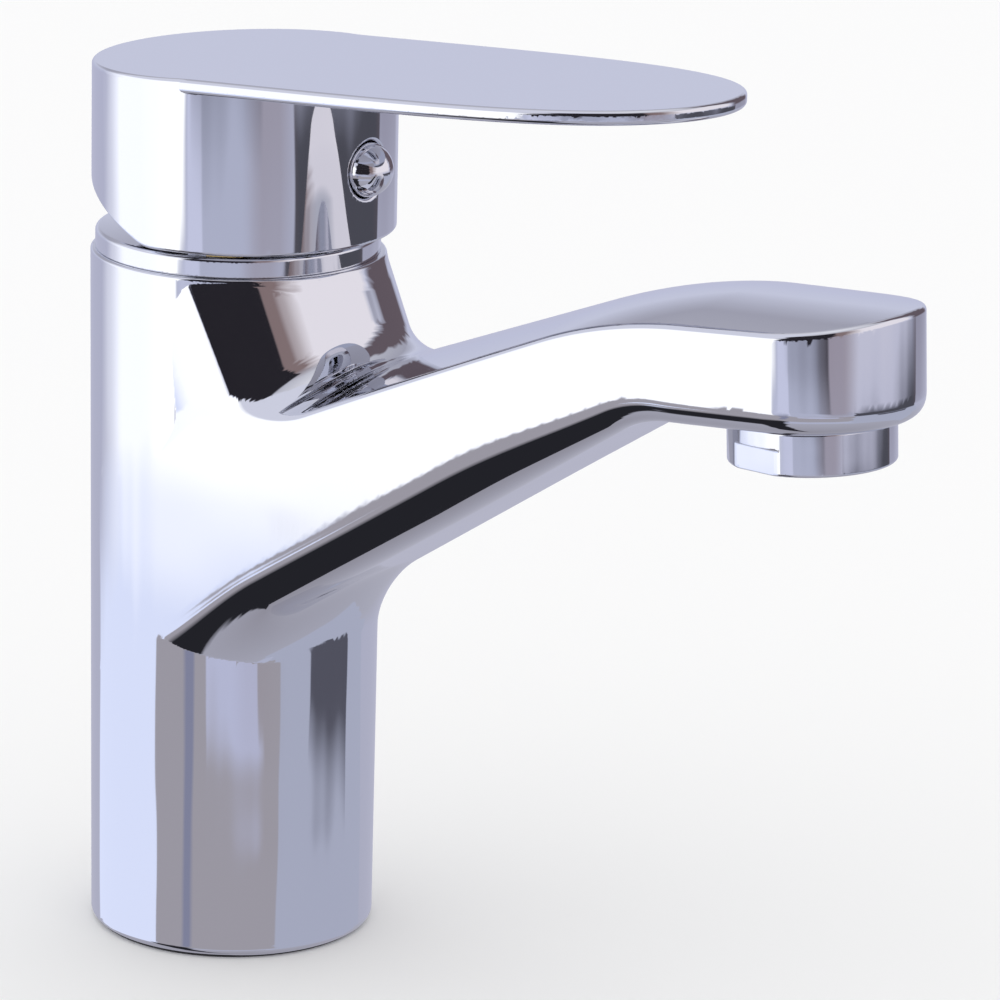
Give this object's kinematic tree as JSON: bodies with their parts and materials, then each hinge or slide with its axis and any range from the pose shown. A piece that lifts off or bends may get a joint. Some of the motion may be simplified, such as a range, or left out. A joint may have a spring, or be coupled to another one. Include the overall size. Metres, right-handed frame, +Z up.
{
  "type": "single-lever basin mixer faucet",
  "caption": "Deck-mounted single-lever basin mixer with a raised wedge spout, tilting and turning flat lever, ceramic cartridge and screw-in aerator.",
  "frame": {"origin": "centre of the base on the deck surface, on the axis of the deck hole", "axes": "+Z up along the body axis, spout and lever towards -Y, +X to the right of someone who stands in front of the spout and looks at it"},
  "size_m": [0.051, 0.1552, 0.156],
  "materials": {
    "chrome_body": "bright polished chrome plate on cast brass",
    "chrome_lever": "bright polished chrome plate on cast zinc",
    "chrome_trim": "bright chrome, turned",
    "brass": "plain machined brass",
    "steel": "plain stainless steel",
    "black_rubber": "matt black rubber",
    "cartridge_plastic": "moulded plastic, satin",
    "blue_plastic": "moulded plastic, satin",
    "red_plastic": "moulded plastic, satin",
    "green_plastic": "moulded plastic, satin",
    "white_plastic": "moulded plastic, satin",
    "grey_plastic": "moulded plastic, glossy",
    "disc_ceramic": "lapped ceramic"
  },
  "bodies": {
    "root": {"body_casting": "chrome_body", "base_gasket": "black_rubber", "cover_ring": "chrome_trim", "cartridge_nut": "brass", "cartridge_housing": "cartridge_plastic", "cartridge_base": "blue_plastic", "limit_ring": "red_plastic", "port_seals": "black_rubber", "cartridge_seal": "black_rubber", "disc_gasket": "black_rubber", "fixed_disc": "disc_ceramic", "aerator_housing": "chrome_trim", "aerator_seal": "black_rubber", "flow_regulator": "green_plastic", "aerator_insert": "white_plastic", "aerator_screen": "white_plastic", "aerator_grille": "grey_plastic"},
    "turning": {"rotor": "cartridge_plastic", "pivot_pin": "steel"},
    "disc": {"moving_disc": "disc_ceramic", "disc_carrier": "blue_plastic"},
    "lever": {"stem": "brass", "lever_handle": "chrome_lever", "set_screw": "steel", "index_plug": "chrome_trim"}
  },
  "joints": [
    {"name": "handle_turn", "type": "hinge", "parent": "root", "child": "turning", "pos_m": [0, 0, 0.1], "axis": [0, 0, 1], "range_deg": [-50, 50]},
    {"name": "handle_lift", "type": "hinge", "parent": "turning", "child": "lever", "pos_m": [0, 0, 0.12], "axis": [-1, 0, 0], "range_deg": [0, 21]},
    {"name": "disc_slide", "type": "slide", "parent": "turning", "child": "disc", "axis": [0, -1, 0], "range_m": [0, 0.0068]}
  ],
  "couplings": [
    {"joint": "disc_slide", "follows": "handle_lift", "m_per_rad": 0.0179}
  ]
}
